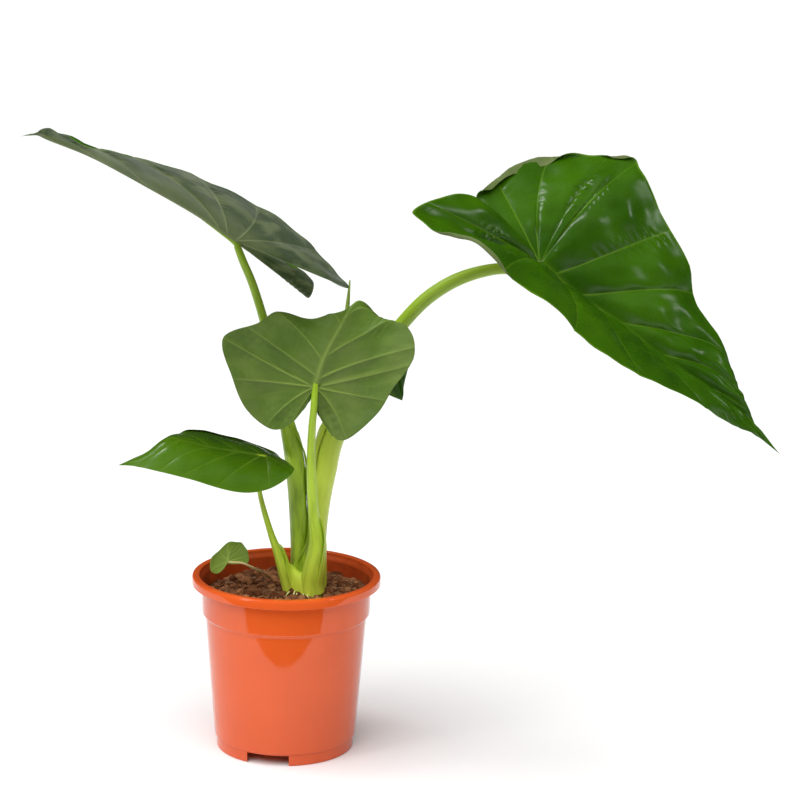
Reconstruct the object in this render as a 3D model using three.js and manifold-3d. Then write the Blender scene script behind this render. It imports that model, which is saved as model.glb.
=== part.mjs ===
// A potted alocasia: a plastic nursery pot of soil with five leaves on long stalks and one rolled new leaf.
// Millimetres, +Z up. The origin is the centre of the pot's underside, on the pot's axis, +Y to the back.
import * as THREE from "three";
import { mergeVertices } from "three/addons/utils/BufferGeometryUtils.js";
import Module from "manifold-3d";

const wasm = await Module();
wasm.setup();

// ---------------------------------------------------------------- driving dimensions

const GAP = 0.3; // left between pieces that touch

const pot = {
  height: 179,
  wall: 1.8,
  sides: 60,
  rimRadius: 95,
  rimInside: 87.5,
  rimDepth: 9,
  collarTopRadius: 86,
  collarBottomRadius: 84.5,
  collarBottom: 139.8,
  bodyTopRadius: 81.4,
  bodyBottomRadius: 71.7,
  footRadius: 69.7,
  footHeight: 11.8,
  padRadius: 30,
  padFlare: 6, // how much wider the pad's cone is where it meets the floor
  stepSlope: 2.2, // height of the sloping step under the collar
  footStep: 0.5, // height of the step from the foot ring out to the body
  lipWeb: 4, // the lip's web meets the collar this far above the lip's lower edge
  lipRound: 3,
  lipEdge: 1,
  notchCount: 3,
  notchAngle: 36,
  notchInner: 38,
  notchRoof: 0.2, // the notches stop this far below the floor's underside
  notchCentre: 258, // degrees round from +X: a little left of the front
  drainCount: 6,
  drainSides: 16,
  drainRadius: 5,
  drainCircle: 56,
};

// The soil's top is level in the middle and slopes down over `edgeWidth` to the wall.
const soil = { top: 161.5, edgeTop: 158.5, edgeWidth: 12, edgeDrop: 0.4, wallGap: 0.4, collarGap: 0.9 };

const stem = { x: 12, y: -4, radius: 27, depth: 42, tipRadius: 19, rise: 0.2, edge: 1, sides: 24 };

const blade = { thickness: 1.2, stepsPerRib: 2, stepsAcross: 5 };

const stalkSides = 10;

// Each leaf: `at` is the place where its blade joins its stalk. The other blade points count from there.
// `midrib` runs from the joint to the tip. Each half of the blade, left and right as seen from above with
// the tip ahead, is stretched on ribs: `fan` lists the margin ends of the ribs that spread from the joint,
// from the cleft behind it round the back lobe, and `side` those of the ribs that leave the midrib at equal
// steps up to the tip. The fourth number of a margin point is how far its rib arches up between its ends.
// `stalk` is the stalk's centre line from the soil up, each point with its radius.
const leaves = {
  right: {
    at: [247, 30, 494],
    midrib: [
      [0, 0, 0], [36, -8, -29], [79, -16, -55], [115, -22, -81],
      [160, -28, -110], [203, -34, -139], [221, -37, -157], [242, -40, -179],
    ],
    left: {
      fan: [
        [-14, 6, 16, 0], [-27, 8, 26, 0], [-62, 34, 51, 2], [-51, 55, 71, 6],
        [-9, 82, 91, 12], [57, 78, 97, 12], [91, 68, 98, 10], [102, 52, 87, 8],
      ],
      side: [
        [121, 42, 48, 6], [148, 34, 4, 6], [159, 22, -39, 5],
        [184, 4, -75, 4], [206, -23, -134, 2], [218, -34, -154, 0],
      ],
    },
    right: {
      fan: [
        [-14, 6, 16, 0], [-27, 0, 21, 0], [-68, -14, 68, 2], [-105, -40, 69, 4],
        [-129, -70, 58, 0], [-102, -96, 44, 3], [-68, -114, 35, 5], [-30, -124, 3, 8],
      ],
      side: [
        [9, -130, -22, 8], [41, -128, -54, 7], [92, -114, -86, 6],
        [144, -88, -114, 4], [183, -60, -142, 2], [215, -42, -159, 0],
      ],
    },
    stalk: [
      [31, 8, 162.5, 9.5], [31, 9, 180, 9.5], [30, 11, 217, 9.5], [32, 13, 253, 11], [36, 16, 283, 12.4],
      [42, 20, 313, 12.6], [65, 24, 361, 8.6], [88, 24, 400, 7.2], [111, 22, 433, 6.9], [136, 22, 460, 6.8],
      [166, 24, 479, 6.5], [199, 26, 489, 5.8], [223, 28, 489, 5.2], [236, 29, 486, 4.6],
    ],
  },
  left: {
    at: [-54, 10, 515],
    midrib: [
      [0, 0, 0], [-35, 4, 23], [-84, 8, 49], [-140, 12, 77],
      [-183, 14, 93], [-197, 16, 98], [-213, 18, 96],
    ],
    left: {
      fan: [
        [34, -10, -9, 0], [65, -24, -20, 0], [95, -40, -31, 0], [113, -58, -35, 0],
        [99, -80, -14, 2], [70, -98, 20, 4], [32, -102, 47, 5],
      ],
      side: [
        [-27, -94, 73, 4], [-85, -76, 88, 3], [-137, -54, 96, 2],
        [-181, -10, 107, 0], [-198, 8, 99, 0],
      ],
    },
    right: {
      fan: [
        [34, -10, -9, 0], [53, 14, -27, 0], [75, 40, -46, 0], [69, 64, -67, 0],
        [48, 82, -49, -2], [21, 94, -20, -4], [-6, 96, 14, -5],
      ],
      side: [
        [-52, 88, 34, -4], [-101, 70, 57, -3], [-149, 50, 80, -2],
        [-183, 28, 95, 0], [-199, 20, 98, 0],
      ],
    },
    stalk: [
      [11, 4, 162.5, 9], [12, 5, 180, 9], [12, 6, 207, 8.6], [10, 7, 254, 9.2], [7, 8, 290, 9.8],
      [2, 8, 318, 8.6], [-6, 8, 351, 6.4], [-14, 7, 387, 5.2], [-24, 6, 432, 4.4], [-36, 6, 471, 4.1],
      [-46, 6, 495, 3.9], [-51, 8, 507, 3.6],
    ],
  },
  front: {
    at: [28, -48, 382],
    midrib: [
      [0, 0, 0], [7, -2, 26], [20, 2, 53], [39, 18, 82],
      [59, 34, 64], [75, 40, 28], [85, 38, -20],
    ],
    left: {
      fan: [
        [-4, -3, -6, 0], [4, -9, -19, 0], [10, -14, -34, 0], [29, -18, -48, 2],
        [60, -18, -22, 3], [77, -16, 6, 4], [93, -12, 28, 4],
      ],
      side: [
        [96, -8, 42, 4], [93, 0, 55, 4], [84, 12, 62, 3],
        [92, 38, 28, 4], [87, 42, -2, 1],
      ],
    },
    right: {
      fan: [
        [-4, -3, -6, 0], [-10, -8, -18, 0], [-23, -14, -34, 1], [-42, -18, -38, 2],
        [-66, -18, -18, 4], [-80, -14, 13, 5], [-89, -4, 48, 5],
      ],
      side: [
        [-56, 2, 62, 4], [-38, 12, 72, 5], [-14, 26, 60, 4],
        [20, 46, 20, 6], [63, 44, -11, 3],
      ],
    },
    stalk: [
      [26.5, -18, 162.5, 11.5], [26, -19, 180, 11], [31, -24, 216, 8.2], [28, -30, 246, 5.6],
      [26, -38, 276, 4.8], [25, -48, 315, 4.1], [26, -58, 344, 3.7], [27.5, -62, 363, 3.4],
      [28, -58, 375, 3.2],
    ],
  },
  low: {
    at: [-20, -26, 307],
    midrib: [
      [0, 0, 0], [-26, -2, 4], [-51, -4, 8], [-77, -6, 14],
      [-95, -8, 18], [-118, -14, 2], [-144, -18, -8],
    ],
    left: {
      fan: [
        [8, 0, -3, 0], [19, -5, -7, 0], [28, -10, -10, 0],
        [22, -20, -17, 2], [3, -28, -27, 3], [-23, -34, -29, 4],
      ],
      side: [[-52, -36, -22, 4], [-80, -36, -14, 4], [-103, -32, -10, 3], [-125, -26, -7, 1]],
    },
    right: {
      fan: [
        [8, 0, -3, 0], [17, 6, -7, 0], [25, 11, -13, 0],
        [19, 20, -10, 1], [0, 34, -6, 2], [-22, 42, 0, 3],
      ],
      side: [[-49, 44, 7, 3], [-73, 40, 12, 3], [-95, 26, 11, 2], [-118, 0, 0, 0]],
    },
    stalk: [
      [4, -12, 164, 6.8], [-1.5, -13, 184, 6.4], [-8, -13, 204, 4.8], [-15, -13, 223, 3.4],
      [-23, -14, 250, 2.7], [-27, -16, 269, 2.3], [-27, -17, 284, 2.2], [-23, -21, 296, 1.9],
    ],
  },
  small: {
    at: [-57, -24, 198],
    midrib: [[0, 0, 0], [0, 2, 4], [3, 7, 11], [8, 16, 15]],
    left: {
      fan: [[-1, -2, -3, 0], [10, -3, -2, 0], [20, -2, 0, 1], [19, 6, 8, 1]],
      side: [[15, 10, 13, 1], [12, 14, 15, 0]],
    },
    right: {
      fan: [[-1, -2, -3, 0], [-4, -5, -6, 0], [-10, -8, -11, 0], [-17, -8, -8, 1], [-17, -3, 3, 1]],
      side: [[-10, 4, 9, 1], [-1, 12, 16, 1]],
    },
    stalk: [
      [-18.5, 37, 164, 1.5], [-21, 24, 169.5, 1.4], [-26, 2, 179.5, 1.3],
      [-33, -21, 190.5, 1.2], [-42.5, -31, 198, 1.1], [-54, -32, 199, 1],
    ],
  },
};

// The rolled new leaf stands in the sheath of the right stalk: its centre line, each point with its radius.
const newLeaf = [
  [44, 2, 322, 1.6], [46, 4, 350, 3.2], [50, 6, 380, 3.8], [54, 8, 415, 3.2], [57, 9, 450, 2.2], [59, 10, 478, 0.7],
];

// ---------------------------------------------------------------- materials

const material = (color, roughness) => new THREE.MeshStandardMaterial({ color, roughness, metalness: 0 });

const potPlastic = () => material("#de5e27", 0.3);
const soilMix = () => material("#60381f", 1);
const stemSkin = () => material("#b5c45a", 0.5);
const stalkSkin = () => material("#9dbb3c", 0.4);
const glossyBlade = () => material("#2f6b1a", 0.3);
const mattBlade = () => material("#5c7440", 0.6);

// ---------------------------------------------------------------- geometry helpers

// A closed mesh as a manifold-3d solid, and back.
function solidOf(geometry) {
  geometry.deleteAttribute("normal");
  geometry.deleteAttribute("uv");
  const merged = mergeVertices(geometry, 1e-3);
  return new wasm.Manifold(
    new wasm.Mesh({
      numProp: 3,
      vertProperties: merged.attributes.position.array,
      triVerts: new Uint32Array(merged.index.array),
    }),
  );
}

function geometryOf(solid) {
  const mesh = solid.getMesh();
  const geometry = new THREE.BufferGeometry();
  geometry.setAttribute("position", new THREE.BufferAttribute(mesh.vertProperties, 3));
  geometry.setIndex(new THREE.BufferAttribute(mesh.triVerts, 1));
  geometry.computeVertexNormals();
  return geometry;
}

function geometryFrom(points, triangles) {
  const geometry = new THREE.BufferGeometry();
  geometry.setAttribute("position", new THREE.Float32BufferAttribute(points.flatMap((p) => p.toArray()), 3));
  geometry.setIndex(triangles.flat());
  geometry.computeVertexNormals();
  return geometry;
}

// A lathe about Z from [radius, z] points, listed anticlockwise as seen with Z up and the radius to the right.
function turned(profile, sides) {
  const points = profile.map(([radius, z]) => new THREE.Vector2(radius, z));
  return new THREE.LatheGeometry(points, sides).rotateX(Math.PI / 2);
}

// A smooth line of numbers through evenly spaced knots, each knot a list of up to four numbers.
function smooth(knots, t) {
  const vectors = knots.map((k) => new THREE.Vector3(k[0], k[1], k[2]));
  const extras = knots.map((k) => new THREE.Vector3(k[3] ?? 0, 0, 0));
  const point = new THREE.CatmullRomCurve3(vectors, false, "catmullrom", 0.5).getPoint(t);
  const extra = new THREE.CatmullRomCurve3(extras, false, "catmullrom", 0.5).getPoint(t).x;
  return { point, extra };
}

// A round stalk with closed ends round a centre line, each of whose points is [x, y, z, radius].
function stalkGeometry(line, sides) {
  const rings = (line.length - 1) * 2;
  const points = [];
  for (let i = 0; i <= rings; i++) {
    const t = i / rings;
    const { point, extra: radius } = smooth(line, t);
    const along = smooth(line, Math.min(1, t + 0.01)).point.sub(smooth(line, Math.max(0, t - 0.01)).point);
    const across = new THREE.Vector3(0, 1, 0).cross(along).normalize();
    const deep = along.clone().cross(across).normalize();
    for (let k = 0; k < sides; k++) {
      const angle = (k / sides) * Math.PI * 2;
      points.push(
        point
          .clone()
          .addScaledVector(across, radius * Math.cos(angle))
          .addScaledVector(deep, radius * Math.sin(angle)),
      );
    }
  }
  const triangles = [];
  for (let i = 0; i < rings; i++) {
    for (let k = 0; k < sides; k++) {
      const a = i * sides + k;
      const b = i * sides + ((k + 1) % sides);
      triangles.push([a, b, b + sides], [a, b + sides, a + sides]);
    }
  }
  const last = rings * sides;
  for (let k = 1; k < sides - 1; k++) {
    triangles.push([0, k + 1, k], [last, last + k, last + k + 1]);
  }
  return geometryFrom(points, triangles);
}

// The ends of the rib at t, from 0 at the cleft to 1 at the tip, and how far it arches.
function ribAt(leaf, half, t) {
  const margin = [...half.fan, ...half.side, [...leaf.midrib.at(-1), 0]];
  const lastFan = half.fan.length - 1;
  const station = Math.max(0, (t * (margin.length - 1) - lastFan) / (half.side.length + 1));
  const { point: outer, extra: arch } = smooth(margin, t);
  return { inner: smooth(leaf.midrib, station).point, outer, arch };
}

// One half of a blade as a grid of points, grid[i][j], from the midrib at j = 0 to the margin.
function halfGrid(leaf, half, side) {
  const steps = (half.fan.length + half.side.length) * blade.stepsPerRib;
  const grid = [];
  for (let i = 0; i <= steps; i++) {
    const t = i / steps;
    const { inner, outer, arch } = ribAt(leaf, half, t);
    const before = ribAt(leaf, half, Math.max(0, t - 1e-3));
    const after = ribAt(leaf, half, Math.min(1, t + 1e-3));
    const along = after.inner.add(after.outer).sub(before.inner).sub(before.outer);
    const across = outer.clone().sub(inner);
    const up = along.cross(across).normalize().multiplyScalar(side);
    const rib = [];
    for (let j = 0; j <= blade.stepsAcross; j++) {
      const v = j / blade.stepsAcross;
      rib.push(inner.clone().addScaledVector(across, v).addScaledVector(up, arch * 4 * v * (1 - v)));
    }
    grid.push(rib);
  }
  return grid;
}

// A sheet given by triangles, made into a closed solid of even thickness about it.
function thickened(sheet, thickness) {
  const merged = mergeVertices(sheet, 1e-2);
  const corners = [];
  const index = merged.index.array;
  for (let i = 0; i < index.length; i += 3) {
    const [a, b, c] = index.slice(i, i + 3);
    if (a !== b && b !== c && c !== a) corners.push([a, b, c]);
  }
  const middle = [];
  const position = merged.attributes.position;
  for (let i = 0; i < position.count; i++) middle.push(new THREE.Vector3().fromBufferAttribute(position, i));
  const normals = middle.map(() => new THREE.Vector3());
  for (const [a, b, c] of corners) {
    const normal = middle[b].clone().sub(middle[a]).cross(middle[c].clone().sub(middle[a]));
    for (const k of [a, b, c]) normals[k].add(normal);
  }
  const shifted = (amount) => middle.map((p, i) => p.clone().addScaledVector(normals[i].normalize(), amount));
  const count = middle.length;
  const triangles = [];
  const open = new Map();
  for (const [a, b, c] of corners) {
    triangles.push([a, b, c], [a + count, c + count, b + count]);
    for (const [from, to] of [[a, b], [b, c], [c, a]]) {
      if (!open.delete(to + "," + from)) open.set(from + "," + to, [from, to]);
    }
  }
  for (const [from, to] of open.values()) {
    triangles.push([from, from + count, to + count], [from, to + count, to]);
  }
  return geometryFrom([...shifted(thickness / 2), ...shifted(-thickness / 2)], triangles);
}

function bladeGeometry(leaf) {
  const points = [];
  for (const [half, side] of [[leaf.left, 1], [leaf.right, -1]]) {
    const grid = halfGrid(leaf, half, side);
    for (let i = 0; i < grid.length - 1; i++) {
      for (let j = 0; j < blade.stepsAcross; j++) {
        const [a, b, c, d] = [grid[i][j], grid[i + 1][j], grid[i + 1][j + 1], grid[i][j + 1]];
        points.push(...(side > 0 ? [a, b, c, a, c, d] : [a, c, b, a, d, c]));
      }
    }
  }
  const sheet = new THREE.BufferGeometry();
  sheet.setAttribute("position", new THREE.Float32BufferAttribute(points.flatMap((p) => p.toArray()), 3));
  return thickened(sheet, blade.thickness);
}

// ---------------------------------------------------------------- pieces

// A wedge for cutting a notch in the foot ring, `centre` degrees round from +X.
function notchWedge(centre) {
  const slope = Math.tan(THREE.MathUtils.degToRad(pot.notchAngle / 2));
  const { notchInner: inner, rimRadius: outer, footHeight: foot } = pot;
  const outline = new THREE.Shape([
    new THREE.Vector2(inner, -inner * slope),
    new THREE.Vector2(outer, -outer * slope),
    new THREE.Vector2(outer, outer * slope),
    new THREE.Vector2(inner, inner * slope),
  ]);
  const wedge = new THREE.ExtrudeGeometry(outline, { depth: foot, bevelEnabled: false });
  return solidOf(wedge.translate(0, 0, -pot.notchRoof).rotateZ(THREE.MathUtils.degToRad(centre)));
}

// The pot: a downturned lip, a collar, the body, and a foot ring below a raised floor with a centre pad.
function potGeometry() {
  const { wall, height, footHeight: foot } = pot;
  const floorTop = foot + wall;
  const padWall = 1.2 * wall; // the pad's cone is sloping, so it is wider measured level
  const lipBottom = height - pot.rimDepth;
  const roundCorner = pot.lipRound * (1 - Math.SQRT1_2);
  const profile = [
    [0, 0],
    [pot.padRadius, 0],
    [pot.padRadius + pot.padFlare, foot],
    [pot.footRadius - wall, foot],
    [pot.footRadius - wall, 0],
    [pot.footRadius, 0],
    [pot.footRadius, foot],
    [pot.bodyBottomRadius, foot + pot.footStep],
    [pot.bodyTopRadius, pot.collarBottom - pot.stepSlope],
    [pot.collarBottomRadius, pot.collarBottom],
    [pot.collarTopRadius, lipBottom + pot.lipWeb],
    [pot.rimRadius - wall, lipBottom + pot.lipWeb],
    [pot.rimRadius - wall, lipBottom],
    [pot.rimRadius, lipBottom],
    [pot.rimRadius, height - pot.lipRound],
    [pot.rimRadius - roundCorner, height - roundCorner],
    [pot.rimRadius - pot.lipRound, height],
    [pot.rimInside + pot.lipEdge, height],
    [pot.rimInside, height - pot.lipEdge],
    [pot.collarTopRadius - wall, lipBottom + pot.lipWeb / 2],
    [pot.collarBottomRadius - wall, pot.collarBottom + pot.stepSlope / 2],
    [pot.bodyTopRadius - wall, pot.collarBottom - pot.stepSlope],
    [pot.bodyBottomRadius - wall, floorTop],
    [pot.padRadius + pot.padFlare - padWall, floorTop],
    [pot.padRadius - padWall, wall],
    [0, wall],
  ];
  let solid = solidOf(turned(profile, pot.sides));
  for (let k = 0; k < pot.notchCount; k++) {
    solid = solid.subtract(notchWedge(pot.notchCentre + (k * 360) / pot.notchCount));
  }
  for (let k = 0; k < pot.drainCount; k++) {
    const drill = new THREE.CylinderGeometry(pot.drainRadius, pot.drainRadius, 3 * wall, pot.drainSides);
    drill.rotateX(Math.PI / 2).translate(pot.drainCircle, 0, foot + wall / 2);
    solid = solid.subtract(solidOf(drill.rotateZ(((k + 0.5) / pot.drainCount) * Math.PI * 2)));
  }
  return geometryOf(solid);
}

// The short stem, set in the soil, that the stalks stand on.
function stemGeometry() {
  const top = soil.top + stem.rise;
  const profile = [
    [0, top - stem.depth],
    [stem.tipRadius, top - stem.depth],
    [stem.radius, top - stem.depth / 3],
    [stem.radius, top - stem.edge],
    [stem.radius - stem.edge, top],
    [0, top],
  ];
  return turned(profile, stem.sides).translate(stem.x, stem.y, 0);
}

// The soil fills the pot, following its inside with a small gap, and has a pocket for the stem.
function soilGeometry() {
  const { wall } = pot;
  const gap = wall + soil.wallGap;
  const floor = pot.footHeight + wall + GAP;
  const profile = [
    [0, floor],
    [pot.bodyBottomRadius - gap, floor],
    [pot.bodyTopRadius - gap, pot.collarBottom - pot.stepSlope],
    [pot.collarBottomRadius - gap - soil.collarGap, pot.collarBottom + pot.stepSlope],
    [pot.collarTopRadius - gap - soil.collarGap, soil.edgeTop],
    [pot.collarTopRadius - soil.edgeWidth, soil.top - soil.edgeDrop],
    [0, soil.top],
  ];
  const pocketTop = soil.top + stem.radius; // the cutter stands clear of the soil
  const pocket = [
    [0, soil.top - stem.depth - GAP],
    [stem.tipRadius + GAP, soil.top - stem.depth - GAP],
    [stem.radius + GAP, soil.top - stem.depth / 3 - GAP],
    [stem.radius + GAP, pocketTop],
    [0, pocketTop],
  ];
  const hollow = solidOf(turned(pocket, stem.sides).translate(stem.x, stem.y, 0));
  return geometryOf(solidOf(turned(profile, pot.sides)).subtract(hollow));
}

// ---------------------------------------------------------------- assembly

const alocasia = new THREE.Group();

function add(name, geometry, skin, parent = alocasia) {
  const mesh = new THREE.Mesh(geometry, skin);
  mesh.name = name;
  parent.add(mesh);
}

add("pot", potGeometry(), potPlastic());
add("soil", soilGeometry(), soilMix());
add("stem_base", stemGeometry(), stemSkin());
for (const [name, leaf] of Object.entries(leaves)) {
  add("stalk_" + name, stalkGeometry(leaf.stalk, stalkSides), stalkSkin());
  const crown = new THREE.Group();
  crown.position.set(...leaf.at);
  alocasia.add(crown);
  const skin = name === "right" || name === "low" ? glossyBlade() : mattBlade();
  add("leaf_" + name, bladeGeometry(leaf), skin, crown);
}
add("new_leaf", stalkGeometry(newLeaf, stalkSides), stalkSkin());

export default alocasia;
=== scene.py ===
"""The looks of the potted alocasia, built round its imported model.

Leaf, stalk and pot numbers are the part's own, in millimetres; a mesh is made in metres from them.
"""
import math
import random
from types import SimpleNamespace as Sizes

import bmesh
import bpy
import numpy as np
from mathutils import Matrix, Vector, noise


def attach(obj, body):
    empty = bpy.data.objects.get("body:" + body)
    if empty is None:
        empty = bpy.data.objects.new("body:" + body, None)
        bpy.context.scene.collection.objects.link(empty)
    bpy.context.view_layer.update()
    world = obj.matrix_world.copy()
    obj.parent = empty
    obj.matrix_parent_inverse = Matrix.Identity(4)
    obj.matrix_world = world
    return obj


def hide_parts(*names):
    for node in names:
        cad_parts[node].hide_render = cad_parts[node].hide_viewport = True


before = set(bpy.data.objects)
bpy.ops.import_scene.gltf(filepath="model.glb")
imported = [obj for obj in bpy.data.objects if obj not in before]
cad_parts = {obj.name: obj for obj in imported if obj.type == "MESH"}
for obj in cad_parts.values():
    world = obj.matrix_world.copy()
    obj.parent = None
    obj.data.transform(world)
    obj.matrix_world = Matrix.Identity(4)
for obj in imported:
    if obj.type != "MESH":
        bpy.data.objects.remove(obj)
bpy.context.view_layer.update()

MM = 0.001
VEIN_SWEEP = 0.8  # the power by which a vein's rib number changes from the midrib to the margin
VEIN_ROWS = np.array([-0.05, -0.02, 0, 0.02, 0.05])  # mesh rows along each vein, in ribs beside it
PUCKER_PITCH = 7.5  # mm between the puckers beside a vein
FRILL_PITCH = 42  # mm between the waves of a leaf's margin

# ---- driving dimensions, in mm

POT = Sizes(
    height=179, wall=1.8, rim=95, rim_inside=87.5, rim_depth=9,
    collar_top=86, collar_bottom=84.5, collar_z=139.8,
    body_top=81.4, body_bottom=71.7, foot=69.7, foot_height=11.8,
    pad=30, notch_count=3, notch_angle=36, notch_centre=258,
    drain_count=6, drain_radius=5, drain_circle=56,
)
SOIL = Sizes(top=161.5, edge=158.5, radius=83.2, bottom=120)
STEM = Sizes(x=12, y=-4, radius=26, bottom=122)

# Each leaf: `at` is where the blade joins its stalk, and the other blade points count from there. `midrib`
# runs to the tip. A half has the margin ends of its ribs: `fan` from the cleft round the back lobe, `side`
# from the midrib's equal steps, each with how far the rib arches. `veins` are (rib at the midrib, rib at the
# margin, size), and `curls` are (first rib, last rib, radius, turn, flap) where the margin rolls over.
# `relief` is the height of the midrib and of the veins, the bulge between veins, the puckers beside them and
# the wave of the margin. `grid` is the mesh's ribs in the fan, ribs at the side and steps across. `stalk` is
# (x, y, z, radius) upwards. `tail` takes it on under the blade: (step along the midrib, drop, share of the
# radius). `sheath` wraps its foot: (z, first angle, last angle, gap to the stalk, thickness, flare).
RIGHT = dict(
    at=(247, 30, 494),
    midrib=[
        (0, 0, 0), (36, -8, -29), (79, -16, -55), (115, -22, -81), (160, -28, -110), (203, -34, -139),
        (221, -37, -157), (242, -40, -179),
    ],
    left=dict(
        fan=[
            (-14, 6, 16, 0), (-27, 8, 26, 0), (-62, 34, 51, 2), (-51, 55, 71, 6), (-9, 82, 91, 12),
            (57, 78, 97, 12), (91, 68, 98, 10), (102, 52, 87, 8),
        ],
        side=[
            (121, 42, 48, 6), (148, 34, 4, 6), (159, 22, -39, 5), (184, 4, -75, 4), (206, -23, -134, 2),
            (218, -34, -154, 0),
        ],
        curls=[(2.4, 4.6, 1.3, 2.7, 13), (5.1, 6.3, 1.2, 2.6, 7), (7.2, 7.7, 1.5, 2, 2)],
        veins=[
            (3, 3.2, 1.1), (3.6, 4.4, 0.9), (5, 5.3, 0.5), (6.2, 6.5, 1.3), (7.3, 8.4, 1),
            (7.95, 9.8, 0.9), (8.9, 11.4, 0.8), (10, 12.4, 0.7), (11.1, 13.1, 0.5), (12.2, 13.6, 0.4),
        ],
    ),
    right=dict(
        fan=[
            (-14, 6, 16, 0), (-27, 0, 21, 0), (-68, -14, 68, 2), (-105, -40, 69, 4), (-129, -70, 58, 0),
            (-102, -96, 44, 3), (-68, -114, 35, 5), (-30, -124, 3, 8),
        ],
        side=[
            (9, -130, -22, 8), (41, -128, -54, 7), (92, -114, -86, 6), (144, -88, -114, 4),
            (183, -60, -142, 2), (215, -42, -159, 0),
        ],
        curls=[(5, 6.8, 1.3, 2, 3.5)],
        veins=[
            (3.1, 3.3, 1.1), (4.6, 5, 0.8), (6.2, 6.7, 1.2), (7.3, 8.6, 1), (8.1, 10, 0.9),
            (9.1, 11.4, 0.8), (10.1, 12.4, 0.6), (11.2, 13.1, 0.5), (12.3, 13.6, 0.4),
        ],
    ),
    relief=(3.4, 0.9, 3, 1.2, 0.5),
    grid=(85, 95, 85),
    stalk=[
        (31, 8, 162.5, 9.5), (31, 9, 180, 9.5), (30, 11, 217, 9.5), (32, 13, 253, 11),
        (36, 16, 283, 12.4), (42, 20, 313, 12.6), (65, 24, 361, 8.6), (88, 24, 400, 7.2),
        (111, 22, 433, 6.9), (136, 22, 460, 6.8), (166, 24, 479, 6.5), (199, 26, 489, 5.8),
        (223, 28, 489, 5.2), (236, 29, 486, 4.6),
    ],
    tail=[(0, 3, 0.8), (0.08, 2.4, 0.45), (0.2, 1.5, 0.2)],
    sheath=[
        (200, 150, 215, 0.2, 1, 0.3), (250, 150, 225, 0.5, 1.1, 1), (300, 150, 230, 0.6, 1.1, 1.5),
        (320, 165, 225, 0.8, 1, 2.5), (331, 180, 210, 0.2, 0.5, 1),
    ],
)
LEFT = dict(
    at=(-54, 10, 515),
    midrib=[
        (0, 0, 0), (-35, 4, 23), (-84, 8, 49), (-140, 12, 77), (-183, 14, 93), (-197, 16, 98),
        (-213, 18, 96),
    ],
    left=dict(
        fan=[
            (34, -10, -9, 0), (65, -24, -20, 0), (95, -40, -31, 0), (113, -58, -35, 0),
            (99, -80, -14, 2), (70, -98, 20, 4), (32, -102, 47, 5),
        ],
        side=[
            (-27, -94, 73, 4), (-85, -76, 88, 3), (-137, -54, 96, 2), (-181, -10, 107, 0),
            (-198, 8, 99, 0),
        ],
        veins=[
            (3.2, 3, 0.6), (4.75, 4.6, 1), (5.6, 6.1, 1), (6.2, 7, 0.9), (6.4, 8.2, 1),
            (8, 8.9, 0.8), (8.8, 9.8, 0.7), (9.7, 10.7, 0.6), (10.6, 11.4, 0.4),
        ],
    ),
    right=dict(
        fan=[
            (34, -10, -9, 0), (53, 14, -27, 0), (75, 40, -46, 0), (69, 64, -67, 0), (48, 82, -49, -2),
            (21, 94, -20, -4), (-6, 96, 14, -5),
        ],
        side=[
            (-52, 88, 34, -4), (-101, 70, 57, -3), (-149, 50, 80, -2), (-183, 28, 95, 0),
            (-199, 20, 98, 0),
        ],
        veins=[
            (3, 2.9, 0.6), (4.4, 4.4, 1), (5.4, 5.7, 1), (6.2, 7, 0.9), (7, 8.2, 0.9),
            (7.9, 9, 0.8), (8.8, 9.9, 0.6), (9.8, 10.8, 0.5),
        ],
    ),
    relief=(2.6, 0.7, 2.4, 0.6, 0.6),
    grid=(80, 80, 80),
    stalk=[
        (11, 4, 162.5, 9), (12, 5, 180, 9), (12, 6, 207, 8.6), (10, 7, 254, 9.2), (7, 8, 290, 9.8),
        (2, 8, 318, 8.6), (-6, 8, 351, 6.4), (-14, 7, 387, 5.2), (-24, 6, 432, 4.4), (-36, 6, 471, 4.1),
        (-46, 6, 495, 3.9), (-51, 8, 507, 3.6),
    ],
    tail=[(0, 2, 0.85), (0.07, 2, 0.5), (0.16, 1.5, 0.25)],
    sheath=[
        (168, -130, 20, 1.5, 2.2, 4), (190, -112, 25, 1.2, 2, 4), (203, -78, 30, 1, 1.8, 4),
        (217, -48, 30, 0.8, 1.6, 3), (231, -22, 30, 0.7, 1.4, 2.5), (255, -30, 28, 0.6, 1.3, 2),
        (281, -32, 20, 0.5, 1.2, 1.6), (297, -8, 20, 0.4, 1, 2.2), (320, -50, 0, 0.2, 0.8, 1.2),
        (331, -84, -60, 0, 0.3, 0),
    ],
)
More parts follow.
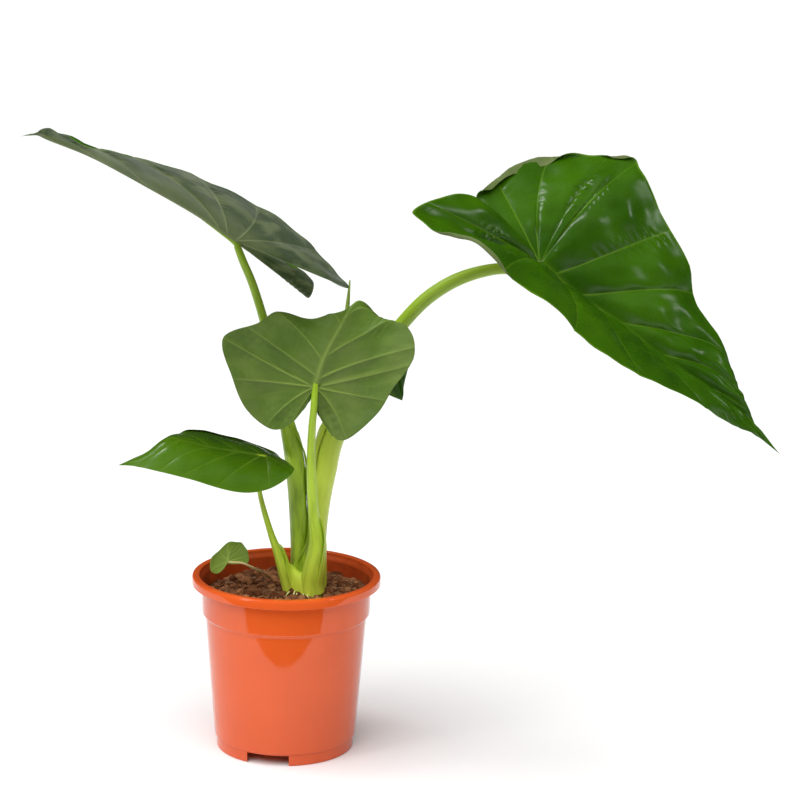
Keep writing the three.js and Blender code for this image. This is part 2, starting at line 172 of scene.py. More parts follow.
FRONT = dict(
    at=(28, -48, 382),
    midrib=[
        (0, 0, 0), (7, -2, 26), (20, 2, 53), (39, 18, 82), (59, 34, 64), (75, 40, 28), (85, 38, -20),
    ],
    left=dict(
        fan=[
            (-4, -3, -6, 0), (4, -9, -19, 0), (10, -14, -34, 0), (29, -18, -48, 2), (60, -18, -22, 3),
            (77, -16, 6, 4), (93, -12, 28, 4),
        ],
        side=[(96, -8, 42, 4), (93, 0, 55, 4), (84, 12, 62, 3), (92, 38, 28, 4), (87, 42, -2, 1)],
        veins=[
            (3.6, 3.1, 0.8), (4.4, 4.5, 1), (6, 5.9, 1), (6.3, 7.1, 1.1), (7.1, 9.2, 0.7),
            (8.4, 10.4, 0.4), (9.8, 11.3, 0.3),
        ],
    ),
    right=dict(
        fan=[
            (-4, -3, -6, 0), (-10, -8, -18, 0), (-23, -14, -34, 1), (-42, -18, -38, 2),
            (-66, -18, -18, 4), (-80, -14, 13, 5), (-89, -4, 48, 5),
        ],
        side=[(-56, 2, 62, 4), (-38, 12, 72, 5), (-14, 26, 60, 4), (20, 46, 20, 6), (63, 44, -11, 3)],
        veins=[
            (2.4, 1.9, 0.4), (3.8, 3.2, 1), (5.1, 4.9, 1.2), (5.9, 6, 1.2), (6.4, 6.7, 0.8),
            (7, 8, 0.7), (8.2, 9.4, 0.5), (9.6, 10.8, 0.4),
        ],
    ),
    relief=(2.3, 0.8, 2.2, 0.45, 0.4),
    grid=(80, 70, 64),
    stalk=[
        (26.5, -18, 162.5, 11.5), (26, -19, 180, 11), (31, -24, 216, 8.2), (28, -30, 246, 5.6),
        (26, -38, 276, 4.8), (25, -48, 315, 4.1), (26, -58, 344, 3.7), (27.5, -62, 363, 3.4),
        (28, -58, 375, 3.2),
    ],
    tail=[(0.02, 0, 0.85), (0.1, 0.5, 0.5), (0.2, 0.5, 0.2)],
    sheath=[
        (165, -70, 60, 0.3, 1.2, 0), (190, -60, 50, 0.4, 1.2, 0.8), (215, -50, 40, 0.5, 1.1, 1.5),
        (230, -35, 25, 0.6, 1, 2.2), (240, -20, 12, 0.4, 0.9, 2), (246, -8, 0, 0, 0.4, 0.5),
    ],
)
LOW = dict(
    at=(-20, -26, 307),
    midrib=[
        (0, 0, 0), (-26, -2, 4), (-51, -4, 8), (-77, -6, 14), (-95, -8, 18), (-118, -14, 2),
        (-144, -18, -8),
    ],
    left=dict(
        fan=[
            (8, 0, -3, 0), (19, -5, -7, 0), (28, -10, -10, 0), (22, -20, -17, 2), (3, -28, -27, 3),
            (-23, -34, -29, 4),
        ],
        side=[(-52, -36, -22, 4), (-80, -36, -14, 4), (-103, -32, -10, 3), (-125, -26, -7, 1)],
        veins=[
            (2.5, 2.4, 0.8), (3.9, 3.9, 0.8), (5.1, 5.8, 0.9), (5.8, 7, 0.8), (6.7, 8, 0.6),
            (7.7, 8.9, 0.5),
        ],
    ),
    right=dict(
        fan=[
            (8, 0, -3, 0), (17, 6, -7, 0), (25, 11, -13, 0), (19, 20, -10, 1), (0, 34, -6, 2),
            (-22, 42, 0, 3),
        ],
        side=[(-49, 44, 7, 3), (-73, 40, 12, 3), (-95, 26, 11, 2), (-118, 0, 0, 0)],
        curls=[(3.6, 7.6, 1.1, 2.5, 3)],
        veins=[
            (2.5, 2.4, 0.8), (3.9, 3.9, 0.8), (5.1, 5.8, 0.9), (5.8, 7, 0.8), (6.7, 8, 0.6),
            (7.7, 8.9, 0.5),
        ],
    ),
    relief=(1.5, 0.5, 1, 0.2, 0.3),
    grid=(60, 60, 50),
    stalk=[
        (4, -12, 164, 6.8), (-1.5, -13, 184, 6.4), (-8, -13, 204, 4.8), (-15, -13, 223, 3.4),
        (-23, -14, 250, 2.7), (-27, -16, 269, 2.3), (-27, -17, 284, 2.2), (-23, -21, 296, 1.9),
    ],
    tail=[(0, 1.2, 0.85), (0.1, 1.2, 0.5), (0.25, 0.8, 0.25)],
    sheath=[
        (163, -70, 40, 0.2, 1.2, 0), (180, -70, 40, 0.3, 1.3, 1.2), (192, -60, 36, 0.5, 1.4, 3.5),
        (200, -46, 30, 0.6, 1.2, 4.2), (207, -30, 18, 0.5, 1, 3.2), (212, -10, 4, 0.2, 0.5, 0.5),
    ],
)
SMALL = dict(
    at=(-57, -24, 198),
    midrib=[(0, 0, 0), (0, 2, 4), (3, 7, 11), (8, 16, 15)],
    left=dict(
        fan=[(-1, -2, -3, 0), (10, -3, -2, 0), (20, -2, 0, 1), (19, 6, 8, 1)],
        side=[(15, 10, 13, 1), (12, 14, 15, 0)],
        veins=[(1.6, 1.6, 0.6), (2.6, 2.7, 0.6), (3.3, 4.2, 0.5), (4.2, 5.1, 0.4)],
    ),
    right=dict(
        fan=[(-1, -2, -3, 0), (-4, -5, -6, 0), (-10, -8, -11, 0), (-17, -8, -8, 1), (-17, -3, 3, 1)],
        side=[(-10, 4, 9, 1), (-1, 12, 16, 1)],
        veins=[(1.6, 1.6, 0.6), (3, 3, 0.6), (4.3, 5.2, 0.5), (5.2, 6.1, 0.4)],
    ),
    relief=(0.9, 0.35, 1.5, 0.25, 0.4),
    grid=(44, 36, 30),
    stalk=[
        (-17.5, 41, 160, 1.5), (-21, 24, 169.5, 1.4), (-26, 2, 179.5, 1.3), (-33, -21, 190.5, 1.2),
        (-42.5, -31, 198, 1.1), (-54, -32, 199, 1),
    ],
    tail=[(0, 0.8, 0.8), (0.2, 0.8, 0.5)],
    stalk_grid=(60, 20),
)
LEAVES = dict(right=RIGHT, left=LEFT, front=FRONT, low=LOW, small=SMALL)
NEW_LEAF = [
    (44, 2, 322, 1.6), (46, 4, 350, 3.2), (50, 6, 380, 3.8), (54, 8, 415, 3.2), (57, 9, 450, 2.2),
    (59, 10, 478, 0.7),
]
BLADE_THICKNESS = 0.7

# ---- numbers and curves


def smooth(knots, t):
    """Catmull-Rom values through evenly spaced knots, for t from 0 to 1."""
    knots = np.asarray(knots, float)
    t = np.clip(np.asarray(t, float), 0, 1) * (len(knots) - 1)
    i = np.minimum(t.astype(int), len(knots) - 2)
    w = (t - i)[..., None]
    ends = np.vstack([2 * knots[0] - knots[1], knots, 2 * knots[-1] - knots[-2]])
    a, b, c, d = ends[i], ends[i + 1], ends[i + 2], ends[i + 3]
    rise, fall = 0.5 * (c - a), 0.5 * (d - b)
    return b + rise * w + (3 * (c - b) - 2 * rise - fall) * w**2 + (2 * (b - c) + rise + fall) * w**3


def step(low, high, x):
    """0 below low, 1 above high, and a smooth rise between them."""
    s = np.clip((x - low) / (high - low), 0, 1)
    return s * s * (3 - 2 * s)


def unit(vectors):
    return vectors / np.maximum(np.linalg.norm(vectors, axis=-1, keepdims=True), 1e-9)


def ripple(points, size, seed):
    """A smooth random field, about -1 to 1, whose bumps are about `size` mm across."""
    rng = np.random.default_rng(seed)
    total = np.zeros(points.shape[:-1])
    waves = 7
    for _ in range(waves):
        direction = unit(rng.normal(size=3))
        pitch = size * rng.uniform(1.3, 2.6)
        total += np.sin(points @ direction * (2 * math.pi / pitch) + rng.uniform(0, 2 * math.pi))
    return total / math.sqrt(waves)


# ---- meshes


def placed(name, data):
    """A new object with this mesh, camera or light, in the scene."""
    thing = bpy.data.objects.new(name, data)
    bpy.context.scene.collection.objects.link(thing)
    return thing


def mesh_piece(name, points, faces, materials, replaces=(), indices=None, weld=0.0, marks=None):
    """A piece from points in mm. `marks` are named numbers or vectors kept at each point for its material."""
    mesh = bpy.data.meshes.new(name)
    mesh.from_pydata((np.asarray(points, float) * MM).tolist(), [], [tuple(map(int, f)) for f in faces])
    for label, values in (marks or {}).items():
        values = np.asarray(values, np.float32)
        if values.ndim == 1:
            mesh.attributes.new(label, "FLOAT", "POINT").data.foreach_set("value", values)
        else:
            mesh.attributes.new(label, "FLOAT_VECTOR", "POINT").data.foreach_set("vector", values.ravel())
    for material in materials:
        mesh.materials.append(material)
    if indices is not None:
        mesh.polygons.foreach_set("material_index", np.asarray(indices, np.int32))
    if weld:
        work = bmesh.new()
        work.from_mesh(mesh)
        bmesh.ops.remove_doubles(work, verts=work.verts, dist=weld * MM)
        bmesh.ops.recalc_face_normals(work, faces=work.faces)
        work.to_mesh(mesh)
        work.free()
    mesh.polygons.foreach_set("use_smooth", np.ones(len(mesh.polygons), bool))
    mesh.update()
    piece = placed(name, mesh)
    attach(piece, "root")
    if replaces:
        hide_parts(*replaces)
    return piece


def grid_faces(rows, columns, start=0, wrap=False, flip=False):
    """Quads over a grid of points, row by row. wrap joins the last column to the first."""
    i, j = np.meshgrid(np.arange(rows - 1), np.arange(columns if wrap else columns - 1), indexing="ij")
    right = (j + 1) % columns
    row, after = i * columns, (i + 1) * columns
    quads = np.stack([row + j, row + right, after + right, after + j], -1).reshape(-1, 4) + start
    return quads[:, ::-1] if flip else quads


def ring_faces(rings, sides, flip=False):
    """Quads round a stack of rings of points, and a face over each end."""
    ends = [list(range(sides))[::-1], [(rings - 1) * sides + k for k in range(sides)]]
    faces = grid_faces(rings, sides, wrap=True, flip=flip).tolist()
    return faces + [end[::-1] if flip else end for end in ends]


def line_frames(points):
    """Two directions square to a line at each of its points: near +X and near +Y where it goes up."""
    along = unit(np.gradient(points, axis=0))
    across = unit(np.cross((0.0, 1.0, 0.0), along))
    return across, unit(np.cross(along, across))


def tube(line, rings, sides, shape=None):
    """A tube round a line of (x, y, z, radius): points, faces, marks. shape(u, angle) scales its radius."""
    u = np.linspace(0, 1, rings)
    values = smooth(line, u)
    centre, radius = values[:, :3], values[:, 3]
    across, deep = line_frames(centre)
    angle = np.linspace(0, 2 * math.pi, sides, endpoint=False)
    scale = radius[:, None] * (shape(u[:, None], angle[None, :]) if shape else np.ones((rings, sides)))
    ring = across[:, None] * np.cos(angle)[None, :, None] + deep[:, None] * np.sin(angle)[None, :, None]
    points = (centre[:, None] + ring * scale[..., None]).reshape(-1, 3)
    length = np.concatenate([[0], np.cumsum(np.linalg.norm(np.diff(centre, axis=0), axis=1))])
    skin = np.stack([
        np.broadcast_to(np.cos(angle), scale.shape), np.broadcast_to(np.sin(angle), scale.shape),
        np.broadcast_to(length[:, None] / 60, scale.shape),
    ], -1).reshape(-1, 3)
    return points, ring_faces(rings, sides), dict(skin=skin, height=points[:, 2], rim=np.zeros(len(points)))


def shell(inner, outer, marks):
    """A closed thin shell between two grids of points of the same shape."""
    rows, columns = inner.shape[:2]
    count = rows * columns
    faces = grid_faces(rows, columns, 0, flip=True).tolist() + grid_faces(rows, columns, count).tolist()
    order = np.arange(count).reshape(rows, columns)
    border = [*order[0], *order[1:, -1], *order[-1, -2::-1], *order[-2:0:-1, 0]]
    for a, b in zip(border, border[1:] + border[:1]):
        faces.append([a, b, b + count, a + count])
    points = np.concatenate([inner.reshape(-1, 3), outer.reshape(-1, 3)])
    doubled = {label: np.tile(mark.reshape(count, -1), (2, 1)).squeeze() for label, mark in marks.items()}
    return points, faces, doubled


class Heap:
    """Many small shapes joined into one piece, each with one shade for its material."""

    def __init__(self):
        self.points, self.faces, self.shade = [], [], []

    def add(self, points, faces, shade=0.0):
        start = len(self.points)
        self.points += [tuple(point) for point in points]
        self.faces += [[start + i for i in face] for face in faces]
        self.shade += [shade] * len(points)

    def piece(self, name, material, slot):
        return mesh_piece(name, self.points, self.faces, [material], marks=dict(shade=self.shade))


# ---- materials


def linear(paint):
    """A screen colour, 0 to 255, as the linear colour that shaders use. A socket stays as it is."""
    if not isinstance(paint, tuple):
        return paint
    shares = [c / 255 for c in paint]
    return tuple(c / 12.92 if c <= 0.04 else ((c + 0.055) / 1.055) ** 2.4 for c in shares) + (1.0,)


class Skin:
    """A material's nodes, with a short call for each kind. An input is a number, a colour or a socket."""

    def __init__(self, name, **constants):
        self.material = bpy.data.materials.new(name)
        self.material.use_nodes = True
        self.tree = self.material.node_tree
        self.shader = self.tree.nodes["Principled BSDF"]
        for label, value in constants.items():
            self.shader.inputs[label.replace("_", " ").title().replace("Ior", "IOR")].default_value = value
        self.place = self.add("TexCoord", {}, "Object")

    def fill(self, node, inputs):
        for label, value in inputs.items():
            if isinstance(value, bpy.types.NodeSocket):
                self.tree.links.new(value, node.inputs[label])
            else:
                node.inputs[label].default_value = value

    def add(self, kind, inputs, output, **settings):
        """One output of a new node, with its inputs filled."""
        node = self.tree.nodes.new("ShaderNode" + kind)
        for label, value in settings.items():
            setattr(node, label, value)
        self.fill(node, inputs)
        return node.outputs[output]

    def mark(self, name, output="Fac"):
        return self.add("Attribute", {}, output, attribute_name=name)

    def noise(self, scale, detail=3.0, place=None, rough=0.5):
        inputs = dict(Vector=place or self.place, Scale=scale, Detail=detail, Roughness=rough)
        return self.add("TexNoise", inputs, "Fac")

    def net(self, scale):
        """1 on the lines of a fine net, and 0 between them."""
        inputs = dict(Vector=self.place, Scale=scale)
        cells = self.add("TexVoronoi", inputs, "Distance", feature="DISTANCE_TO_EDGE")
        return self.ramp(cells, 0.0, 0.08, 1.0, 0.0)

    def stretch(self, vector, scale):
        return self.add("Mapping", dict(Vector=vector, Scale=scale), "Vector")

    def ramp(self, value, low, high, start=0.0, end=1.0):
        labels = ("Value", "From Min", "From Max", "To Min", "To Max")
        inputs = dict(zip(labels, (value, low, high, start, end)))
        return self.add("MapRange", inputs, "Result", interpolation_type="SMOOTHSTEP")

    def sum(self, a, b, operation="ADD"):
        return self.add("Math", {0: a, 1: b}, 0, operation=operation)

    def times(self, a, b):
        return self.sum(a, b, "MULTIPLY")

    def mix(self, share, a, b):
        return self.add("Mix", {"Factor": share, 6: linear(a), 7: linear(b)}, 2, data_type="RGBA")

    def tint(self, share, strength, paint):
        """Mixes a colour into the base colour."""
        self.base = self.mix(self.times(share, strength), self.base, paint)

    def relief(self, height, distance, strength=1.0, under=None):
        inputs = dict(Height=height, Distance=distance, Strength=strength)
        if under is not None:
            inputs["Normal"] = under
        return self.add("Bump", inputs, "Normal")

    def finish(self, roughness, normal):
        self.fill(self.shader, {"Base Color": self.base, "Roughness": roughness, "Normal": normal})
        return self.material


def blade_top(name, deep, fresh, vein):
    """A leaf's glossy upper face: darker and fresher patches, pale veins and a fine net."""
    skin = Skin(name, specular_ior_level=0.5)
    patches = skin.ramp(skin.noise(12, 2), 0.35, 0.68)
    streaks = skin.noise(1.0, 2, skin.stretch(skin.mark("rib", "Vector"), (3, 0.03, 1)))
    skin.base = skin.mix(skin.sum(skin.times(patches, 0.6), skin.times(streaks, 0.4)), deep, fresh)
    skin.tint(skin.ramp(skin.mark("edge"), 0.7, 1.0), 0.35, fresh)
    skin.tint(skin.mark("vein"), 0.7, vein)
    skin.base = skin.mix(skin.ramp(skin.mark("edge"), 0.975, 1.0, 0.0, 0.5), skin.base, vein)
    rough = skin.ramp(skin.noise(45, 4), 0.3, 0.7, 0.22, 0.32)
    bumps = skin.relief(skin.noise(38, 2), 0.0008, 0.12)
    bumps = skin.relief(skin.net(300), -0.0001, 0.05, bumps)
    return skin.finish(rough, bumps)


def blade_under(name, deep, pale, vein, painted_shade, shine=0.4):
    """A leaf's matt under face: raised pale veins, a fine net, and patches of painted shade, darker away from
    the midrib.
    """
    skin = Skin(name, specular_ior_level=shine)
    patches = skin.ramp(skin.noise(20, 4), 0.3, 0.7)
    streaks = skin.noise(1.0, 3, skin.stretch(skin.mark("rib", "Vector"), (7, 0.06, 1)))
    skin.base = skin.mix(skin.sum(skin.times(patches, 0.5), skin.times(streaks, 0.5)), deep, pale)
    # Painted shade: dark green patches, stronger away from the midrib, mixed into the under face's colour.
    shade_pattern = skin.noise(0.55, 3, skin.stretch(skin.mark("rib", "Vector"), (3.2, 0.07, 1)))
    painted_shade_mask = skin.times(skin.ramp(shade_pattern, 0.36, 0.58), skin.ramp(skin.mark("edge"), 0.1, 0.55))
    skin.tint(painted_shade_mask, painted_shade, skin.mix(0.2, (30, 56, 10), skin.base))
    net = skin.net(260)
    skin.tint(net, 0.05, vein)
    skin.tint(skin.mark("ridge"), 0.3, vein)
    skin.tint(skin.mark("vein"), 0.5, vein)
    rough = skin.ramp(skin.noise(40, 4), 0.3, 0.7, 0.42, 0.55)
    bumps = skin.relief(skin.noise(110, 2), 0.0006, 0.25)
    bumps = skin.relief(net, 0.0001, 0.3, bumps)
    return skin.finish(rough, bumps)


def stalk_skin(name, low, high, top, groove=0.35):
    """A stalk's smooth juicy skin: paler near the soil, with fine streaks along it and dark thin margins."""
    skin = Skin(
        name, specular_ior_level=0.5,
        subsurface_weight=0.12, subsurface_scale=0.004, subsurface_radius=(0.5, 1.0, 0.2),
    )
    streaks = skin.noise(2.4, 2, skin.mark("skin", "Vector"))
    fine = skin.noise(22.0, 2, skin.stretch(skin.mark("skin", "Vector"), (1, 1, 0.15)))
    skin.base = skin.mix(skin.ramp(skin.mark("height"), 165, 235), low, high)
    skin.base = skin.mix(skin.ramp(skin.mark("height"), 260, 420), skin.base, top)
    dark = skin.mix(0.7, skin.base, (84, 122, 8))
    skin.tint(skin.ramp(streaks, 0.4, 0.7), groove, dark)
    skin.tint(skin.ramp(fine, 0.5, 0.7), 0.12, (214, 226, 128))
    skin.tint(skin.mark("rim"), 0.4, (96, 118, 30))
    rough = skin.ramp(fine, 0.3, 0.7, 0.3, 0.42)
    bumps = skin.relief(fine, 0.0004, 0.5)
    return skin.finish(rough, bumps)


def pot_plastic():
    """Glossy moulded orange plastic, a little cloudy, with specks and scuffs, and soiled inside."""
    skin = Skin("orange_plastic", specular_ior_level=0.5)
    cloud = skin.ramp(skin.noise(9, 5), 0.3, 0.7)
    skin.base = skin.mix(cloud, (224, 92, 36), (214, 86, 34))
    specks = skin.ramp(skin.noise(420, 2), 0.72, 0.8)
    skin.tint(specks, 0.25, (150, 70, 40))
    scuffs = skin.noise(60, 5, skin.stretch(skin.place, (1, 1, 0.25)), 0.7)
    soiled = skin.times(skin.mark("inside"), skin.ramp(skin.noise(55, 4), 0.2, 0.75, 0.15, 0.6))
    skin.base = skin.mix(soiled, skin.base, (150, 56, 26))
    rough = skin.sum(skin.ramp(scuffs, 0.45, 0.8, 0.05, 0.16), skin.times(skin.mark("inside"), 0.35))
    bumps = skin.relief(skin.noise(70, 2), 0.0004, 0.12)
    return skin.finish(rough, bumps)


def soil_mix():
    skin = Skin("soil_mix", specular_ior_level=0.25)
    lumps = skin.noise(160, 6)
    skin.base = skin.mix(skin.ramp(lumps, 0.35, 0.65), (84, 48, 26), (146, 96, 64))
    skin.tint(skin.ramp(skin.noise(40, 3), 0.45, 0.7), 0.5, (96, 54, 30))
    bumps = skin.relief(skin.noise(420, 6, rough=0.7), 0.0015, 0.9)
    return skin.finish(0.92, bumps)


def coir_clump():
    """Coir and bark crumbs, each with a shade of its own."""
    skin = Skin("coir_crumbs", specular_ior_level=0.25)
    shade = skin.mark("shade")
    grain = skin.noise(500, 5)
    skin.base = skin.mix(shade, (84, 46, 26), (172, 118, 80))
    skin.tint(skin.ramp(grain, 0.4, 0.7), 0.4, (92, 48, 26))
    bumps = skin.relief(grain, 0.001, 0.9)
    return skin.finish(0.9, bumps)


def coir_fibre():
    skin = Skin("coir_fibres", specular_ior_level=0.3)
    shade = skin.mark("shade")
    skin.base = skin.mix(shade, (112, 70, 42), (222, 188, 148))
    skin.tint(skin.noise(300, 3), 0.3, (120, 76, 46))
    return skin.finish(0.8, skin.relief(skin.noise(900, 3), 0.0002, 0.6))


# ---- camera, light and floor


def make_camera():
    data = bpy.data.cameras.new("camera")
    data.lens = 108
    data.sensor_width = 36
    data.clip_end = 100
    camera = placed("camera", data)
    below, roll = 12.69, 1.17  # degrees
    turn = Matrix.Rotation(math.radians(90 - below), 4, "X") @ Matrix.Rotation(math.radians(roll), 4, "Z")
    camera.matrix_world = Matrix.Translation((0.1107, -2.321, 0.883)) @ turn
    bpy.context.scene.camera = camera


def softbox(name, place, size, power):
    """A rectangular light that points at the middle of the plant."""
    data = bpy.data.lights.new(name, "AREA")
    data.shape = "RECTANGLE"
    data.size, data.size_y = size
    data.energy = power
    light = placed(name, data)
    light.location = place
    middle = Vector((0.1, 0, 0.35))
    light.rotation_euler = (middle - Vector(place)).to_track_quat("-Z", "Y").to_euler()


def plain_sheet(name, low, high, z, paint, roughness):
    mesh = bpy.data.meshes.new(name)
    corners = [(low[0], low[1], z), (high[0], low[1], z), (high[0], high[1], z), (low[0], high[1], z)]
    mesh.from_pydata(corners, [], [(0, 1, 2, 3)])
    skin = Skin(name, roughness=roughness, specular_ior_level=0.2)
    skin.shader.inputs["Base Color"].default_value = paint
    mesh.materials.append(skin.material)
    sheet = placed(name, mesh)
    return sheet


def make_world():
    """White to the camera, and nearly dark to what shines on the plant."""
    world = bpy.data.worlds.new("studio")
    world.use_nodes = True
    tree = world.node_tree
    backdrop = tree.nodes["Background"]
    backdrop.inputs["Color"].default_value = (1, 1, 1, 1)
    seen = tree.nodes.new("ShaderNodeMath")
    seen.operation = "MAXIMUM"
    tree.links.new(tree.nodes.new("ShaderNodeLightPath").outputs["Is Camera Ray"], seen.inputs[0])
    seen.inputs[1].default_value = 0.03
    tree.links.new(seen.outputs[0], backdrop.inputs["Strength"])
    bpy.context.scene.world = world


def make_studio():
    bpy.context.scene.view_settings.view_transform = "Standard"
    make_world()
    plain_sheet("floor", (-30, -30), (30, 30), -0.0003, (0.9, 0.9, 0.9, 1), 0.9)
    # The white table ends in front of the pot: a dark card there that only shows in reflections.
    card = plain_sheet("table_front", (-3, -2.4), (3, -0.238), 0.001, (0.01, 0.01, 0.01, 1), 1.0)
    for kind in ("camera", "diffuse", "transmission", "volume_scatter", "shadow"):
        setattr(card, "visible_" + kind, False)
    data = bpy.data.lights.new("broad_light", "SUN")
    data.energy = 3.9
    data.angle = math.radians(80)
    broad = placed("broad_light", data)
    broad.rotation_euler = (math.radians(20), math.radians(-8), 0)
    broad.visible_glossy = False
    softbox("softbox_over", (-0.8, 0.1, 2.0), (0.7, 0.5), 9)
    softbox("softbox_left", (-1.6, -1.3, 1.6), (0.4, 0.7), 6)
    softbox("softbox_right", (1.9, -0.9, 1.7), (0.3, 0.5), 3)


# ---- pot


def pot_profile():
    """The pot's rounded outline, from the middle of its underside round the lip and down its inside."""
    wall, top, foot = POT.wall, POT.height, POT.foot_height
    lip = top - POT.rim_depth
    floor_top = foot + wall
    corners = [  # radius, z, how far the corner is rounded
        (0, 0, 0), (POT.pad, 0, 1.5), (POT.pad + 6, foot, 1.0), (POT.foot - wall, foot, 0.6),
        (POT.foot - wall, 0, 0.5), (POT.foot, 0, 0.6), (POT.foot + 0.3, foot - 0.3, 0.4),
        (POT.body_bottom, foot + 0.4, 0.9), (POT.body_top, POT.collar_z - 2.4, 1.4),
        (POT.collar_bottom, POT.collar_z, 1.1), (POT.collar_top, lip + 4, 0.8),
        (POT.rim - wall, lip + 4, 0.6), (POT.rim - wall, lip, 0.5), (POT.rim, lip, 0.7),
        (POT.rim, top, 2.9), (POT.rim_inside, top, 0.9),
        (POT.rim_inside - 0.6, top - 3, 1.5), (POT.collar_top - wall, lip + 2, 1.5),
        (POT.collar_bottom - wall, POT.collar_z + 1, 1.0), (POT.body_top - wall, POT.collar_z - 2.2, 1.0),
        (POT.body_bottom - wall, floor_top, 1.5), (POT.pad + 4, floor_top, 1.5), (POT.pad - 3, wall, 1.5),
        (0, wall, 0),
    ]
    arc_steps = 5
    outline = []
    for k, (radius, z, round_by) in enumerate(corners):
        here = np.array([radius, z], float)
        if not round_by:
            outline.append(here)
            continue
        before = np.array(corners[k - 1][:2], float) - here
        after = np.array(corners[k + 1][:2], float) - here
        start = here + before / np.linalg.norm(before) * min(round_by, np.linalg.norm(before) * 0.45)
        end = here + after / np.linalg.norm(after) * min(round_by, np.linalg.norm(after) * 0.45)
        for s in np.linspace(0, 1, arc_steps):
            outline.append((1 - s) ** 2 * start + 2 * s * (1 - s) * here + s * s * end)
    return np.array(outline)


def cutter(name, work, turn):
    """An object for cutting the pot, from a bmesh turned about Z by `turn` degrees."""
    work.transform(Matrix.Rotation(math.radians(turn), 4, "Z"))
    mesh = bpy.data.meshes.new(name)
    work.to_mesh(mesh)
    work.free()
    return placed(name, mesh)


def notch_cutter(turn):
    half = POT.foot * math.sin(math.radians(POT.notch_angle / 2)) * MM
    low, high = Vector((0.055, -half, -0.002)), Vector((0.08, half, POT.foot_height * MM - 0.0012))
    work = bmesh.new()
    bmesh.ops.create_cube(work, size=1)
    work.transform(Matrix.Translation((low + high) / 2) @ Matrix.Diagonal((*(high - low), 1)))
    return cutter("notch", work, turn)


def drain_cutter(turn):
    radius, middle = POT.drain_radius * MM, (POT.drain_circle * MM, 0, POT.foot_height * MM + 0.0015)
    work = bmesh.new()
    bmesh.ops.create_cone(work, cap_ends=True, segments=32, radius1=radius, radius2=radius, depth=0.009)
    work.transform(Matrix.Translation(middle))
    return cutter("drain", work, turn)


def cut(piece, cutters):
    """Cuts the cutters out of the piece for good, and removes them."""
    for cutter in cutters:
        modifier = piece.modifiers.new(cutter.name, "BOOLEAN")
        modifier.operation = "DIFFERENCE"
        modifier.solver = "EXACT"
        modifier.object = cutter
    bpy.context.view_layer.update()
    shown = piece.evaluated_get(bpy.context.evaluated_depsgraph_get())
    mesh = bpy.data.meshes.new_from_object(shown)
    piece.modifiers.clear()
    piece.data = mesh
    for cutter in cutters:
        bpy.data.objects.remove(cutter)


def make_pot():
    outline = pot_profile()
    sides = 240
    turn = np.linspace(0, 2 * math.pi, sides, endpoint=False)
    ring = np.stack([np.cos(turn), np.sin(turn)], -1)
    points = np.zeros((len(outline), sides, 3))
    points[..., :2] = outline[:, 0][:, None, None] * ring[None]
    points[..., 2] = outline[:, 1][:, None]
    faces = grid_faces(len(outline), sides, wrap=True)
    lip = int(np.argmax(outline[:, 1])) + 3
    inside = (np.arange(len(outline)) > lip) * step(POT.height, POT.height - 5, outline[:, 1])
    pot = mesh_piece(
        "nursery_pot", points.reshape(-1, 3), faces, [pot_plastic()], ["pot"], weld=0.005,
        marks=dict(inside=np.repeat(inside, sides)),
    )
    notches = [notch_cutter(POT.notch_centre + k * 360 / POT.notch_count) for k in range(POT.notch_count)]
    drains = [drain_cutter((k + 0.5) * 360 / POT.drain_count) for k in range(POT.drain_count)]
    cut(pot, notches + drains)
    pot.data.polygons.foreach_set("use_smooth", np.ones(len(pot.data.polygons), bool))
    pot.data.set_sharp_from_angle(angle=math.radians(38))


# ---- soil


def soil_height(x, y):
    """The soil's uneven surface in mm: it dips at the wall and heaps up a little round the stem."""
    away = math.hypot(x, y)
    heap = 2.5 * math.exp(-((x - STEM.x) ** 2 + (y - STEM.y) ** 2) / 34**2)
    edge = (SOIL.top - SOIL.edge) * max(0.0, (away - 60) / 24)
    rough = 0.0
    for height, wide, seed in ((3.2, 17, 3.1), (1.5, 6.5, 7.7), (0.8, 2.6, 1.3)):
        rough += height * noise.noise(Vector((x / wide, y / wide, seed)))
    return SOIL.top + heap - edge + rough - 0.6


def make_soil():
    """The soil's body, a rough top on a plain drum inside the pot."""
    sides, rings = 220, 70
    points = []
    for i in range(rings + 1):
        radius = 1.0 + (SOIL.radius - 1.0) * i / rings
        for k in range(sides):
            angle = 2 * math.pi * k / sides
            x, y = radius * math.cos(angle), radius * math.sin(angle)
            points.append((x, y, soil_height(x, y)))
    for k in range(sides):
        angle = 2 * math.pi * k / sides
        radius = POT.body_bottom + 6
        points.append((radius * math.cos(angle), radius * math.sin(angle), SOIL.bottom))
    faces = ring_faces(rings + 2, sides, flip=True)
    mesh_piece("soil_body", points, faces, [soil_mix()], ["soil"], weld=0.001)


def on_soil(draw, spread):
    """A random place on the soil, within `spread` of the pot's axis: x, y and z in mm."""
    while True:
        x, y = draw.uniform(-spread, spread), draw.uniform(-spread, spread)
        if math.hypot(x, y) < spread:
            return x, y, soil_height(x, y)


